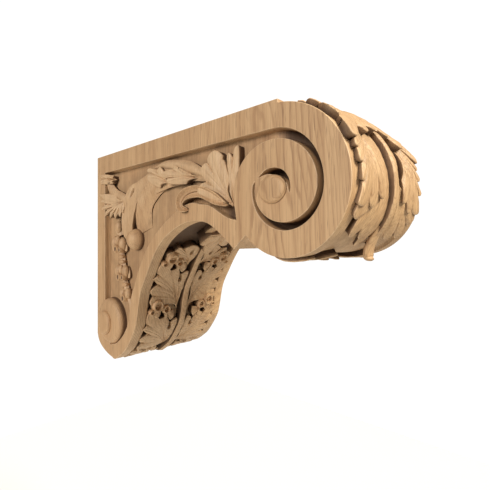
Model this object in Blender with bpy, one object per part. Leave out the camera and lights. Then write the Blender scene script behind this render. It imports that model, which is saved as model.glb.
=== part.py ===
# Carved wooden corbel bracket, modelled in metres with +Z up.
# The flat back bears on the wall at Y = 0 and the bracket projects towards -Y.
# The origin is the middle of the flat back, and X = 0 is the plane of symmetry.

import math

import bmesh
import bpy
import numpy as np
from mathutils import Matrix

# Overall sizes
PROJECTION = 0.350
HEIGHT = 0.2474
WIDTH = 0.127
BACK_FLAT = 0.214

# Plain members of the side
TOP_BAND = 0.0216
BACK_STILE = 0.0195
PANEL_SUNK = 0.008
GROOVE_DEEP = 0.018

# Plain rims each side of the carved front
CHEEK = 0.013
VOLUTE_SUNK = 0.003
CURVE_SUNK = 0.007

# The side is drawn on a sheet: out from the wall, and up or down from a level line
# that lies this many units under the top face.
SHEET_TOP = 108.8

# Big volute: half circles about two centres, each turn smaller by one step
VOLUTE_CENTRE = (284.0, 42.0)
VOLUTE_RADIUS = 66.0
VOLUTE_CROWN = 64.0
VOLUTE_STEP = 12.8
VOLUTE_FILLET = 20.7
VOLUTE_SHOULDER = 290.0
EYE_TOP_RADIUS = 9.0
EYE_PROUD = 0.0015
GROOVE_START = 168.0
NOTCH_ANGLE = -138.3
NOTCH_DEEP = 17.9
CUT_BEYOND = 7.0
CUT_BEFORE = 0.6
CUT_REACH = 0.010
CUT_CLEAR = 0.005

# Small scroll at the foot
SCROLL_CENTRE = (30.5, -95.0)
SCROLL_RADIUS = 28.0
SCROLL_PROUD = 0.0025
SCROLL_SLOPE = 2.0
BOSS_CENTRE = (25.0, -97.5)
BOSS_RADIUS = 14.5
BOSS_PROUD = 0.0065
BOSS_SLOPE = 3.0

# S-shaped member below its start at the notch under the volute, down to the foot
CURVE_FRONT = [(229.9, 6.2), (214.5, 16.1), (200.9, 20.2), (183.6, 18.6), (163.3, 11.9),
               (138.8, 3.3), (115.8, -23.2), (99.7, -55.6), (92.8, -83.9),
               (87.5, -98.5), (71.6, -120.1), (59.1, -130.3), (44.8, -138.6), (32.7, -138.1),
               (12.2, -127.9)]
CURVE_BACK = [(234.8, 22.3), (214.5, 33.0), (200.9, 35.7), (186.5, 37.7),
              (168.1, 32.2), (137.9, 15.6), (113.9, -5.2), (96.0, -31.8), (82.4, -60.7),
              (76.0, -87.6), (69.3, -100.0), (59.1, -111.0), (47.4, -119.0), (32.7, -123.5)]
CURVE_SPLIT = 2
CURVE_MEETS = (3.0, 19.2)

# Carving
BURY = 0.003
BALL_CENTRE = (86.0, 3.5)
BALL_RADIUS = 0.0105
EYE_GAP = 0.7
FAN_LAP = 0.002
RIB_HALF = 0.0022
RIB_PROUD = 0.0045

# Leaves in the side panel: middle line, half widths along it, lobes each side,
# height of the middle and of the edge above the panel
PANEL_RIBBONS = [
    ([(206, 62), (185, 68), (160, 71), (135, 68), (113, 60), (97, 46), (89, 32)],
     [4, 8, 11, 13, 14, 11, 5], 2, 0.0060, 0.0030),
    ([(206, 66), (190, 74), (172, 75), (156, 68)], [4, 7, 7, 3], 1, 0.0085, 0.0060),
    ([(240, 26), (231, 42), (221, 56), (218, 69), (219, 81)], [2, 9, 12, 10, 4], 3, 0.0075, 0.0045),
    ([(242, 34), (240, 52), (239, 68), (237, 82)], [3, 5, 5, 3], 1, 0.0060, 0.0040),
    ([(236, 27), (218, 38), (205, 45), (191, 47), (179, 43), (174, 34)], [2, 5, 6, 6, 5, 3], 0,
     0.0080, 0.0050),
    ([(103, 58), (91, 40), (86, 26), (84, 12)], [4, 6, 6, 3], 0, 0.0085, 0.0050),
    ([(118, 58), (108, 42), (104, 30), (104, 20)], [4, 5, 4, 2], 0, 0.0070, 0.0045),
    ([(41, 34), (42, 12), (42, -8), (44, -24), (46, -42), (58, -58)], [3, 4, 3, 4, 3, 3], 0,
     0.0060, 0.0040),
    ([(66, -64), (68, -80), (63, -92), (55, -99)], [4, 4, 3, 2], 0, 0.0070, 0.0045),
]
# Fans in the side panel: root, direction, reach, spread, fingers, height of the fingers
PANEL_FANS = [
    ((72, 46), 172, 62, 120, 5, 0.0100),
    ((46, 56), 122, 36, 60, 2, 0.0095),
]
# Husks of the drop in the side panel: place, length and half width
HUSKS = [((38, -1), 20, 11), ((45, -33), 20, 12), ((60, -60), 16, 9)]
HUSK_HIGH = 0.0085
HUSK_LEAN = 1.0

# Fans on the carved front: root across and along it, as shares of the field's half width
# and of the line's length, direction from across towards down, reach, spread, fingers, height
CURVE_FANS = [
    (0.10, 0.440, -62, 34, 80, 3, 0.0085),
    (0.12, 0.625, -58, 54, 100, 4, 0.0085),
    (0.12, 0.810, -58, 54, 100, 4, 0.0085),
    (0.12, 0.950, -52, 46, 90, 3, 0.0085),
]
VOLUTE_FANS = [
    (0.10, 0.010, 48, 56, 84, 4, 0.0115),
    (0.10, 0.200, 56, 52, 78, 4, 0.0080),
    (0.10, 0.360, 56, 50, 72, 3, 0.0080),
    (0.10, 0.510, 52, 48, 72, 3, 0.0080),
    (0.10, 0.680, 50, 44, 80, 3, 0.0075),
]
# Knots of the leaves above the fans of the S-shaped front: across and along
CURVE_KNOTS = [(0.62, 0.432), (0.66, 0.622), (0.62, 0.808)]
KNOT_RADIUS = 0.0075
# The middle rib on each line, from one share of its length to another
VOLUTE_RIB = (0.20, 0.64)
CURVE_RIB = (0.38, 0.95)
RIB_STEPS = 12
# Tongue at the foot of the volute's rib: middle line along X = 0, half widths and heights
TONGUE_SHARES = (0.58, 0.64, 0.69, 0.72)
TONGUE_HALVES = (0.0030, 0.0065, 0.0065, 0.0030)
TONGUE_HEIGHTS = (0.0060, 0.0095, 0.0130, 0.0125)
MIDDLE_GUIDES = ("volute_front_cutter", "curve_front_cutter", "volute_rib", "curve_rib", "tongue")
OAK = (0.47, 0.30, 0.16, 1.0)


def out_scale():
    """Metres for each unit of the drawing, outwards: the volute's nose is the end of it."""
    return PROJECTION / (VOLUTE_CENTRE[0] + VOLUTE_RADIUS)


def up_scale():
    """Metres for each unit of the drawing, upwards: the S-shaped front reaches lowest."""
    return HEIGHT / (SHEET_TOP - min(up for out, up in CURVE_FRONT))


def drawn(point):
    """Turn a point of the side drawing into metres out from the wall and metres up."""
    return point[0] * out_scale(), BACK_FLAT / 2 + (point[1] - SHEET_TOP) * up_scale()


def arc(centre, across, high, start, end, steps):
    """Points on an ellipse between two angles in degrees."""
    turns = np.radians(np.linspace(start, end, steps + 1))
    return [(centre[0] + across * math.cos(a), centre[1] + high * math.sin(a)) for a in turns]


def smooth(points, split):
    """Points on a curve that passes through all the given points."""
    given = np.array(points, dtype=float)
    slopes = np.gradient(given, axis=0)
    curve = []
    for i in range(len(given) - 1):
        for t in np.arange(split) / split:
            near = given[i] * (2 * t**3 - 3 * t**2 + 1) + slopes[i] * (t**3 - 2 * t**2 + t)
            far = given[i + 1] * (3 * t**2 - 2 * t**3) + slopes[i + 1] * (t**3 - t**2)
            curve.append(tuple(near + far))
    curve.append(tuple(given[-1]))
    return curve


def lower_centre():
    return VOLUTE_CENTRE[0] + VOLUTE_STEP, VOLUTE_CENTRE[1]


def notch():
    """Where the volute's front ends and the S-shaped front begins."""
    reach = VOLUTE_RADIUS - VOLUTE_STEP + NOTCH_DEEP
    turn = math.radians(NOTCH_ANGLE)
    out, up = lower_centre()
    return out + reach * math.cos(turn), up + reach * math.sin(turn)


def curve_back():
    """Upper edge of the S-shaped member, begun just inside the left edge of the volute's disc."""
    disc_left = VOLUTE_CENTRE[0] - VOLUTE_RADIUS + 2 * VOLUTE_STEP
    return smooth([(disc_left + CURVE_MEETS[0], CURVE_MEETS[1])] + CURVE_BACK, CURVE_SPLIT)


def spiral(radius, start, turns):
    """Half circles that wind inwards, first above and then below the centre line."""
    points = arc(VOLUTE_CENTRE, radius, radius, start, 0, 14)
    for half in range(1, turns):
        smaller = radius - half * VOLUTE_STEP
        if half % 2:
            points += arc(lower_centre(), smaller, smaller, 0, -180, 14)[1:]
        else:
            points += arc(VOLUTE_CENTRE, smaller, smaller, 180, 0, 10)[1:]
    return points


def volute_front(beyond=0.0):
    """Line round the nose of the volute, carried on past the notch by some degrees."""
    shoulder = math.degrees(math.acos((VOLUTE_SHOULDER - VOLUTE_CENTRE[0]) / VOLUTE_RADIUS))
    below = VOLUTE_RADIUS - VOLUTE_STEP
    upper = arc(VOLUTE_CENTRE, VOLUTE_RADIUS, VOLUTE_CROWN, shoulder, 0, 12)
    return upper + arc(lower_centre(), below, below, 0, NOTCH_ANGLE - beyond, 20)[1:]


def curve_front(before=0.0):
    """Line down the S-shaped front, begun a share of its first span before the notch."""
    line = smooth([notch()] + CURVE_FRONT, CURVE_SPLIT)
    if before:
        (near_out, near_up), (far_out, far_up) = line[:2]
        line.insert(0, (near_out + before * (near_out - far_out), near_up + before * (near_up - far_up)))
    return line


def offset(points, distance):
    """Move a line of metre points sideways, positive away from the wood."""
    line = np.array(points)
    along = np.gradient(line, axis=0)
    along /= np.linalg.norm(along, axis=1)[:, None]
    return line + distance * np.stack([-along[:, 1], along[:, 0]], axis=1)


def link(obj, collection):
    for other in obj.users_collection:
        other.objects.unlink(obj)
    collection.objects.link(obj)
    return obj


def plate(name, points, inner, outer, collection):
    """A flat outline in metres out and up, as a solid between two distances from X = 0."""
    curve = bpy.data.curves.new(name, "CURVE")
    curve.dimensions = "2D"
    curve.fill_mode = "BOTH"
    curve.extrude = (outer - inner) / 2
    spline = curve.splines.new("POLY")
    spline.points.add(len(points) - 1)
    for point, (out, up) in zip(spline.points, points):
        point.co = (out, up, 0.0, 1.0)
    spline.use_cyclic_u = True
    outline = bpy.data.objects.new(name + "_outline", curve)
    turn = Matrix(((0, 0, -1), (-1, 0, 0), (0, 1, 0))).to_4x4()
    outline.matrix_world = Matrix.Translation(((outer + inner) / 2, 0, 0)) @ turn
    collection.objects.link(outline)
    bpy.context.view_layer.update()
    evaluated = outline.evaluated_get(bpy.context.evaluated_depsgraph_get())
    mesh = bpy.data.meshes.new_from_object(evaluated)
    mesh.transform(outline.matrix_world)
    solid = bpy.data.objects.new(name, mesh)
    collection.objects.link(solid)
    bpy.data.objects.remove(outline)
    built = bmesh.new()
    built.from_mesh(mesh)
    bmesh.ops.remove_doubles(built, verts=built.verts, dist=0.00001)
    bmesh.ops.recalc_face_normals(built, faces=built.faces)
    built.to_mesh(mesh)
    built.free()
    return solid


def disc(name, centre, radius, top_radius, inner, outer, collection):
    """A round boss on the side, its axis along X."""
    out, up = drawn(centre)
    built = bmesh.new()
    bmesh.ops.create_cone(built, cap_ends=True, segments=28, radius1=radius * out_scale(),
                          radius2=top_radius * out_scale(), depth=outer - inner)
    place = Matrix.Translation(((outer + inner) / 2, -out, up)) @ Matrix.Rotation(math.pi / 2, 4, "Y")
    bmesh.ops.transform(built, matrix=place, verts=built.verts)
    mesh = bpy.data.meshes.new(name)
    built.to_mesh(mesh)
    built.free()
    return link(bpy.data.objects.new(name, mesh), collection)


def ball(name, centre, radius, collection, detail=2):
    built = bmesh.new()
    bmesh.ops.create_icosphere(built, subdivisions=detail, radius=radius)
    bmesh.ops.transform(built, matrix=Matrix.Translation(centre), verts=built.verts)
    mesh = bpy.data.meshes.new(name)
    built.to_mesh(mesh)
    built.free()
    return link(bpy.data.objects.new(name, mesh), collection)


def slab(name, top, bottom, collection):
    """A closed solid between two grids of points of the same size."""
    rows, columns = top.shape[:2]
    size = rows * columns
    grid = np.arange(size).reshape(rows, columns)
    faces = []
    for i in range(rows - 1):
        for j in range(columns - 1):
            around = (grid[i, j], grid[i + 1, j], grid[i + 1, j + 1], grid[i, j + 1])
            faces.append([int(v) for v in around])
            faces.append([int(v) + size for v in reversed(around)])
    rim = list(grid[0, :]) + list(grid[1:, -1]) + list(grid[-1, -2::-1]) + list(grid[-2:0:-1, 0])
    for here, after in zip(rim, rim[1:] + rim[:1]):
        faces.append([int(here), int(after), int(after) + size, int(here) + size])
    mesh = bpy.data.meshes.new(name)
    mesh.from_pydata(np.concatenate([top.reshape(-1, 3), bottom.reshape(-1, 3)]).tolist(), [], faces)
    built = bmesh.new()
    built.from_mesh(mesh)
    bmesh.ops.recalc_face_normals(built, faces=built.faces)
    bmesh.ops.triangulate(built, faces=built.faces)
    built.to_mesh(mesh)
    built.free()
    return link(bpy.data.objects.new(name, mesh), collection)


def on_panel(place, height):
    """A drawn point on the sunk side panel, raised by a height."""
    out, up = drawn(place)
    return WIDTH / 2 - PANEL_SUNK + height, -out, up


def on_front(line, share, across, height):
    """A point on a front profile: share of its length, distance from X = 0, height above it."""
    steps = np.linalg.norm(np.diff(line, axis=0), axis=1)
    run = np.concatenate([[0.0], np.cumsum(steps)])
    raised = offset(line, height)
    wanted = np.clip(share, 0.0, 1.0) * run[-1]
    out = np.interp(wanted, run, raised[:, 0])
    up = np.interp(wanted, run, raised[:, 1])
    return across, -out, up


def ribbon_leaf(middle, halves, lobes, ridge, edge):
    """Grid of drawn points and heights: a leaf along a middle line with lobed edges."""
    line = np.array(smooth(middle, 2))
    along = np.gradient(line, axis=0)
    along /= np.linalg.norm(along, axis=1)[:, None]
    side = np.stack([-along[:, 1], along[:, 0]], axis=1)
    t = np.linspace(0.0, 1.0, len(line))
    half = np.interp(t, np.linspace(0.0, 1.0, len(halves)), halves)
    if lobes:
        half = half * (1.0 - 0.28 * np.abs(np.cos(math.pi * lobes * t)))
    across = np.array([-1.0, 0.0, 1.0])
    places = line[:, None, :] + side[:, None, :] * (half[:, None] * across[None, :])[:, :, None]
    heights = edge + (ridge - edge) * (1.0 - np.abs(across)) * np.ones((len(line), 1))
    return places, heights


def fan_leaf(root, direction, reach, spread, fingers, high):
    """Grid of flat points and heights: fingers that spread from a root."""
    columns = 3 * fingers + 1
    angles = np.radians(direction + np.linspace(-spread / 2, spread / 2, columns))
    tips = np.arange(columns) % 3 > 0
    middle = 1.0 - 0.22 * np.linspace(-1.0, 1.0, columns) ** 2
    far = reach * middle * np.where(tips, 1.0, 0.8)
    shares = np.array([0.12, 0.62, 1.0])
    rows = far[None, :] * shares[:, None]
    places = np.stack([root[0] + rows * np.cos(angles), root[1] + rows * np.sin(angles)], axis=2)
    profile = np.array([0.75, 1.0, 0.6])
    heights = high * profile[:, None] * np.where(tips, 1.0, 0.66)[None, :]
    return places, heights


def panel_slab(name, places, heights, collection):
    top = np.array([[on_panel(p, h) for p, h in zip(*row)] for row in zip(places, heights)])
    bottom = np.array([[on_panel(p, -BURY) for p in row] for row in places])
    return slab(name, top, bottom, collection)


def front_slab(name, line, places, heights, collection):
    """Places hold metres across and metres along the profile."""
    length = np.linalg.norm(np.diff(line, axis=0), axis=1).sum()
    top = np.array([[on_front(line, p[1] / length, p[0], h) for p, h in zip(*row)]
                    for row in zip(places, heights)])
    bottom = np.array([[on_front(line, p[1] / length, p[0], -BURY) for p in row] for row in places])
    return slab(name, top, bottom, collection)


def field_half():
    return WIDTH / 2 - CHEEK


def side_cutters(cutters):
    face = WIDTH / 2
    clear = face + CUT_CLEAR
    inside = drawn((0, SHEET_TOP))[1] - TOP_BAND
    disc_radius = VOLUTE_RADIUS - 2 * VOLUTE_STEP
    disc_arc = arc(VOLUTE_CENTRE, disc_radius, disc_radius, 90, 180, 12)
    edge = [drawn(p) for p in disc_arc + curve_back()]
    start = [(BACK_STILE, inside), (drawn(VOLUTE_CENTRE)[0], inside)]
    end = [(BACK_STILE, drawn((0, SCROLL_CENTRE[1]))[1])]
    plate("panel_cutter", start + edge + end, face - PANEL_SUNK, clear, cutters)
    outside = spiral(VOLUTE_RADIUS - VOLUTE_FILLET, GROOVE_START, 3)
    within = spiral(disc_radius, GROOVE_START, 3)
    groove = [drawn(p) for p in outside + within[::-1]]
    plate("groove_cutter", groove, face - GROOVE_DEEP, clear, cutters)


def front_cutters(cutters):
    for name, line, sunk in (("volute", volute_front(CUT_BEYOND), VOLUTE_SUNK),
                             ("curve", curve_front(CUT_BEFORE), CURVE_SUNK)):
        metres = [drawn(p) for p in line]
        band = list(offset(metres, CUT_REACH)) + list(offset(metres, -sunk))[::-1]
        plate(name + "_front_cutter", band, -field_half(), field_half(), cutters)


def side_carving(carving):
    face = WIDTH / 2
    eye_radius = VOLUTE_RADIUS - 4 * VOLUTE_STEP - EYE_GAP
    disc("eye", VOLUTE_CENTRE, eye_radius, EYE_TOP_RADIUS, face - BURY, face + EYE_PROUD, carving)
    disc("scroll", SCROLL_CENTRE, SCROLL_RADIUS, SCROLL_RADIUS - SCROLL_SLOPE,
         face - PANEL_SUNK - BURY, face + SCROLL_PROUD, carving)
    disc("boss", BOSS_CENTRE, BOSS_RADIUS, BOSS_RADIUS - BOSS_SLOPE, face - BURY, face + BOSS_PROUD, carving)
    ball("ball", on_panel(BALL_CENTRE, BALL_RADIUS / 3), BALL_RADIUS, carving)
    for i, (middle, halves, lobes, ridge, edge) in enumerate(PANEL_RIBBONS):
        places, heights = ribbon_leaf(middle, halves, lobes, ridge, edge)
        panel_slab(f"panel_leaf_{i}", places, heights, carving)
    for i, fan in enumerate(PANEL_FANS):
        places, heights = fan_leaf(*fan)
        panel_slab(f"panel_fan_{i}", places, heights, carving)
    for i, ((out, up), length, half) in enumerate(HUSKS):
        middle = [(out, up + length / 2), (out + HUSK_LEAN, up), (out + 2 * HUSK_LEAN, up - length / 2)]
        places, heights = ribbon_leaf(middle, [half * 0.35, half, half * 0.8], 0, HUSK_HIGH, HUSK_HIGH * 0.5)
        panel_slab(f"husk_{i}", places, heights, carving)


def front_carving(carving):
    half = field_half()
    for name, line, sunk, fans, rib in (
            ("volute", volute_front(), VOLUTE_SUNK, VOLUTE_FANS, VOLUTE_RIB),
            ("curve", curve_front(), CURVE_SUNK, CURVE_FANS, CURVE_RIB)):
        floor = offset([drawn(p) for p in line], -sunk)
        length = np.linalg.norm(np.diff(floor, axis=0), axis=1).sum()
        for i, fan in enumerate(fans):
            across, share, direction, reach, spread, fingers, high = fan
            root = (across * half, share * length)
            places, heights = fan_leaf(root, direction, reach * out_scale(), spread, fingers, high)
            widest = places[:, :, 0].max() - root[0]
            room = half + FAN_LAP - root[0]
            places[:, :, 0] = root[0] + (places[:, :, 0] - root[0]) * min(1.0, room / widest)
            front_slab(f"{name}_fan_{i}", floor, places, heights, carving)
        steps = np.linspace(*rib, RIB_STEPS)
        across = np.array([-1.0, -0.3, 0.3, 1.0]) * RIB_HALF
        places = np.stack(np.meshgrid(across, steps * length), axis=2)
        heights = (sunk + RIB_PROUD * np.array([0.4, 1.0, 1.0, 0.4])) * np.ones((len(steps), 1))
        front_slab(name + "_rib", floor, places, heights, carving)
        if name == "curve":
            for i, (across, share) in enumerate(CURVE_KNOTS):
                ball(f"knot_{i}", on_front(floor, share, across * half, sunk * 0.4), KNOT_RADIUS, carving, 1)
        else:
            across = np.array([-1.0, -0.4, 0.4, 1.0])
            wide, along = np.meshgrid(across, np.array(TONGUE_SHARES) * length)
            places = np.stack([wide * np.array(TONGUE_HALVES)[:, None], along], axis=2)
            heights = np.array(TONGUE_HEIGHTS)[:, None] * (1.0 - 0.3 * across**4)
            front_slab("tongue", floor, places, heights, carving)


def mirror_guides(collection):
    """Copy each guide to the other side of X = 0, apart from those that lie on the plane."""
    for guide in list(collection.objects):
        if guide.name in MIDDLE_GUIDES:
            continue
        mesh = guide.data.copy()
        mesh.transform(Matrix.Diagonal((-1, 1, 1, 1)))
        mesh.flip_normals()
        collection.objects.link(bpy.data.objects.new(guide.name + "_far", mesh))


def body(parts):
    """Outline of the whole side, as wide as the bracket."""
    top = drawn((0, SHEET_TOP))[1]
    outline = [(0.0, top), (drawn((VOLUTE_SHOULDER, 0))[0], top)]
    outline += [drawn(p) for p in volute_front()]
    outline += [drawn(p) for p in curve_front()]
    outline.append((0.0, top - BACK_FLAT))
    return plate("corbel", outline, -WIDTH / 2, WIDTH / 2, parts)


def oak():
    material = bpy.data.materials.new("oak")
    material.use_nodes = True
    shader = material.node_tree.nodes["Principled BSDF"]
    shader.inputs["Base Color"].default_value = OAK
    shader.inputs["Roughness"].default_value = 0.6
    shader.inputs["Metallic"].default_value = 0.0
    return material


def boolean(obj, operation, collection):
    modifier = obj.modifiers.new(operation.lower(), "BOOLEAN")
    modifier.operation = operation
    modifier.solver = "EXACT"
    modifier.operand_type = "COLLECTION"
    modifier.collection = collection


def main():
    for obj in list(bpy.data.objects):
        bpy.data.objects.remove(obj)
    parts = bpy.data.collections.new("corbel_bracket")
    cutters = bpy.data.collections.new("cutters")
    carving = bpy.data.collections.new("carving")
    for collection in (parts, cutters, carving):
        bpy.context.scene.collection.children.link(collection)
    corbel = body(parts)
    side_cutters(cutters)
    front_cutters(cutters)
    side_carving(carving)
    front_carving(carving)
    for collection in (cutters, carving):
        mirror_guides(collection)
    for guide in list(cutters.objects) + list(carving.objects):
        guide.hide_render = True
        guide.display_type = "WIRE"
    boolean(corbel, "DIFFERENCE", cutters)
    boolean(corbel, "UNION", carving)
    corbel.data.materials.append(oak())


main()
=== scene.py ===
import math

import bmesh
import bpy
import numpy as np
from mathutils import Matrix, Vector
from mathutils.geometry import tessellate_polygon


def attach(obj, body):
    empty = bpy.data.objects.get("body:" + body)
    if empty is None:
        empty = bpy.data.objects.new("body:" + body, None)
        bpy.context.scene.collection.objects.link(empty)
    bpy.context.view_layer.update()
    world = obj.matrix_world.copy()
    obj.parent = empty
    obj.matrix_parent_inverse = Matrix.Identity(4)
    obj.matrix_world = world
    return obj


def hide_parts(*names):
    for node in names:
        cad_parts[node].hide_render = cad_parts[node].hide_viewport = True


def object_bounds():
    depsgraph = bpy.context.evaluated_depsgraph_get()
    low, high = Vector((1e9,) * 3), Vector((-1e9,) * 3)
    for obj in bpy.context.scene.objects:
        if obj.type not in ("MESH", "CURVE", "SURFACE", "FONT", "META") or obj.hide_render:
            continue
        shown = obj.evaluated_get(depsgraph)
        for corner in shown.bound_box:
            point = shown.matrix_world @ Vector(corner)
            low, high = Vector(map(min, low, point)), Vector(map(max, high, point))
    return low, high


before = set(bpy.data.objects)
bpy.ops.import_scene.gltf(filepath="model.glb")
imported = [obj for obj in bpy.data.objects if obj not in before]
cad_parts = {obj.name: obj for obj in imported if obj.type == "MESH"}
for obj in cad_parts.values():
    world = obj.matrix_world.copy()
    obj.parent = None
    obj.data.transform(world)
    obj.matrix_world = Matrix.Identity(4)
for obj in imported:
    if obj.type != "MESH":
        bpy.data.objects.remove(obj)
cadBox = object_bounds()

# Everything below is drawn in millimetres on the bracket's side: out from the wall, up from a
# level line. The level line lies a little under the origin, which is the middle of the flat back.
mm = 0.001
levelDrop = 1.8

# Cheek wall: steps in from the cheek's edge, each with its share of the sunk depth. Eases: how
# fast the sunk depth grows from the upper and the lower end of a front.
block = {
    "top": 108.8, "width": 127.0, "backFoot": -114.0, "topBand": 21.6, "backStile": 19.5,
    "stileFoot": -108.0, "panelDeep": 8.0, "grooveDeep": 17.0,
    "cheek": 13.0, "cheekEase": 0.12, "cheekWall": [(0.2, 0.5), (0.5, 0.9), (1.4, 1.0)], "groundFrom": 6.0,
    "voluteSunk": 3.0, "voluteEase": (1.5, 0.5), "curveSunk": 7.0, "curveEase": (0.5, 0.4),
    "edgeRound": 0.7, "wallLean": 0.5, "footFillet": 0.7, "cornerRound": 0.9,
}
volute = {
    "out": 284.0, "up": 42.0, "radius": 66.0, "crown": 64.0, "step": 12.8, "fillet": 20.7,
    "shoulder": 290.0, "notchAngle": -138.3, "discHigh": 37.3, "panelEnd": 36.0,
    "grooveRise": (264.9, 46.0), "grooveTip": (267.6, 49.0), "grooveHeel": (266.9, 44.5), "grooveRamp": 14,
    "coilOut": 295.4, "coilAcross": 28.9, "coilHigh": 26.6, "pocket": (244.6, 31.0),
    "eyeAt": (285.2, 40.9), "eyeAcross": 13.4, "eyeHigh": 11.2, "eyeProud": 3.8, "eyeEase": 5.0,
    "eyeSunk": 0.8,
}
# Painted light on the block, for the oak's colour: above 0 it is painted shade in the holes, the pocket and
# under the arch; below 0 it is paler on the rounded edges, wear with a painted highlight. The pocket is the
# panel's corner between the volute and the S-shaped member.
blockLook = {
    "edgeWearAndSheen": -0.35, "footWearAndSheen": -0.15, "wall": 1.15, "grooveWall": 0.35,
    "pocket": 0.7, "pocketAt": (245.0, 24.0), "pocketWide": 16.0,
    "ground": 0.42, "arch": 0.52, "archFrom": (95, 130), "archTo": (205, 235),
}
# The small hollow in each volute's face, then the two edges of the S-shaped member
crescent = [(270.3, 51.2), (275.8, 55.2), (281.2, 57.2), (287.5, 57), (294.6, 54.3), (299.3, 49),
            (301.2, 43.2), (300.9, 37.6), (300, 39), (298.8, 43.4), (295.6, 47.2), (289.5, 50.6),
            (282.2, 52.9), (276.8, 52.9)]
curveFront = [(243.6, -5.1), (229.9, 6.2), (214.5, 16.1), (200.9, 20.2), (186.5, 20.6),
              (173, 18), (160.5, 13.4), (149, 7.6), (139, 0.8), (129.8, -8), (120.6, -20.2),
              (111.6, -34.6), (99.7, -55.6), (92.8, -83.9),
              (87.5, -98.5), (71.6, -120.1), (59.1, -130.3), (44.8, -138.6), (37, -137.6),
              (28.5, -135.8), (19.6, -132.8), (12.5, -129.6), (6.5, -125.4), (2.2, -120.2)]
curveBack = [(246.6, 19.2), (234.8, 22.3), (214.5, 33), (200.9, 35.7), (186.5, 37.7),
             (168.1, 32.2), (137.9, 15.6), (113.9, -5.2), (96, -31.8), (82.4, -60.7),
             (76, -87.6), (69.3, -100), (59.1, -111), (47.4, -119), (32.7, -123.5)]


def smoothStep(low, high, value):
    # 0 below low, 1 above high, with a soft start and end
    t = np.clip((value - low) / (high - low), 0.0, 1.0)
    return t * t * (3 - 2 * t)


def arc(centre, across, high, start, end, steps):
    # centre plus across times the cosine and high times the sine, between two angles in degrees
    turns = np.radians(np.linspace(start, end, steps + 1))
    return np.stack([centre[0] + across * np.cos(turns), centre[1] + high * np.sin(turns)], axis=1)


def smoothLine(points, split):
    # cubic pieces through the points, each with the slope of its neighbours' chord
    given = np.array(points, dtype=float)
    slopes = np.gradient(given, axis=0)
    t = (np.arange(split) / split)[None, :, None]
    start, end = given[:-1, None, :], given[1:, None, :]
    leave, arrive = slopes[:-1, None, :], slopes[1:, None, :]
    line = (start * (2 * t**3 - 3 * t**2 + 1) + leave * (t**3 - 2 * t**2 + t)
            + end * (3 * t**2 - 2 * t**3) + arrive * (t**3 - t**2))
    return np.concatenate([line.reshape(-1, given.shape[1]), given[-1:]])


def tangents(line, closed=False):
    # each point's direction, the chord between its two neighbours made one unit long
    if closed:
        chord = np.roll(line, -1, axis=0) - np.roll(line, 1, axis=0)
    else:
        chord = np.gradient(line, axis=0)
    return chord / np.maximum(np.linalg.norm(chord, axis=1), 1e-9)[:, None]


def runAlong(line):
    # each point's distance from the first one, along the line
    return np.concatenate([[0.0], np.cumsum(np.linalg.norm(np.diff(line, axis=0), axis=1))])


def readOff(line, known, at):
    # the line's columns at other places than the known ones, straight between points
    return np.stack([np.interp(at, known, column) for column in line.T], axis=1)


def leftOf(direction):
    # each direction turned a quarter to its left
    return np.stack([-direction[:, 1], direction[:, 0]], axis=1)


def roundCorners(path, radius, sharpest=25.0, steps=4):
    # each sharp corner of a closed path becomes a short quadratic curve as wide as the radius
    before = path - np.roll(path, 1, axis=0)
    after = np.roll(path, -1, axis=0) - path
    lengthBefore = np.linalg.norm(before[:, :2], axis=1)
    lengthAfter = np.linalg.norm(after[:, :2], axis=1)
    turn = np.einsum("ij,ij->i", before[:, :2], after[:, :2]) / (lengthBefore * lengthAfter)
    pieces = []
    t = np.linspace(0.0, 1.0, steps + 1)[:, None]
    for i, corner in enumerate(path):
        if turn[i] > math.cos(math.radians(sharpest)):
            pieces.append(corner[None, :])
            continue
        come = corner - before[i] * min(radius / lengthBefore[i], 0.45)
        leave = corner + after[i] * min(radius / lengthAfter[i], 0.45)
        pieces.append(come * (1 - t)**2 + 2 * corner * t * (1 - t) + leave * t**2)
    return np.concatenate(pieces)


def gridFaces(rows, columns, first=0, wrapRows=False, wrapColumns=False):
    # four corners for each cell of a grid of points, row by row
    cells = np.arange(rows - (not wrapRows)), np.arange(columns - (not wrapColumns))
    i, j = np.meshgrid(*cells, indexing="ij")
    below, beside = (i + 1) % rows, (j + 1) % columns
    corners = [i * columns + j, below * columns + j, below * columns + beside, i * columns + beside]
    return np.stack(corners, axis=2).reshape(-1, 4) + first


def flatTriangles(*outlines):
    # triangles that fill the first closed outline less the others, numbered through their points
    loops = [np.column_stack([outline, np.zeros(len(outline))]).tolist() for outline in outlines]
    return np.array(tessellate_polygon(loops))


def place(across, out, up):
    # drawing millimetres to metres in the frame
    return np.stack([across * mm, -out * mm, (up - levelDrop) * mm], axis=-1)


def weldedMesh(name, points, faces, hollow, flatFrom=None, near=0.02):
    # a mesh from points and faces whose doubled points are merged; faces past flatFrom stay flat
    mesh = bpy.data.meshes.new(name)
    mesh.from_pydata(points.tolist(), [], faces)
    smooth = np.ones(len(mesh.polygons), dtype=bool)
    if flatFrom is not None:
        smooth[flatFrom:] = False
    mesh.polygons.foreach_set("use_smooth", smooth)
    # each point's painted shade and painted highlight, with wear on edges, for the oak's colour
    depth = mesh.attributes.new("hollow", "FLOAT", "POINT")
    depth.data.foreach_set("value", hollow.astype(np.float32))
    built = bmesh.new()
    built.from_mesh(mesh)
    bmesh.ops.remove_doubles(built, verts=built.verts, dist=near * mm)
    bmesh.ops.recalc_face_normals(built, faces=built.faces)
    built.to_mesh(mesh)
    built.free()
    return mesh


def inScene(name, data):
    # a new object for a mesh, a lamp or a camera
    made = bpy.data.objects.new(name, data)
    bpy.context.scene.collection.objects.link(made)
    return made


def addPiece(name, mesh, material):
    # an oak piece that rides on the bracket and stands in for part of the plain solid
    piece = inScene(name, mesh)
    mesh.materials.append(material)
    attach(piece, "root")
    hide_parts("corbel")


# Outlines of the block

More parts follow.
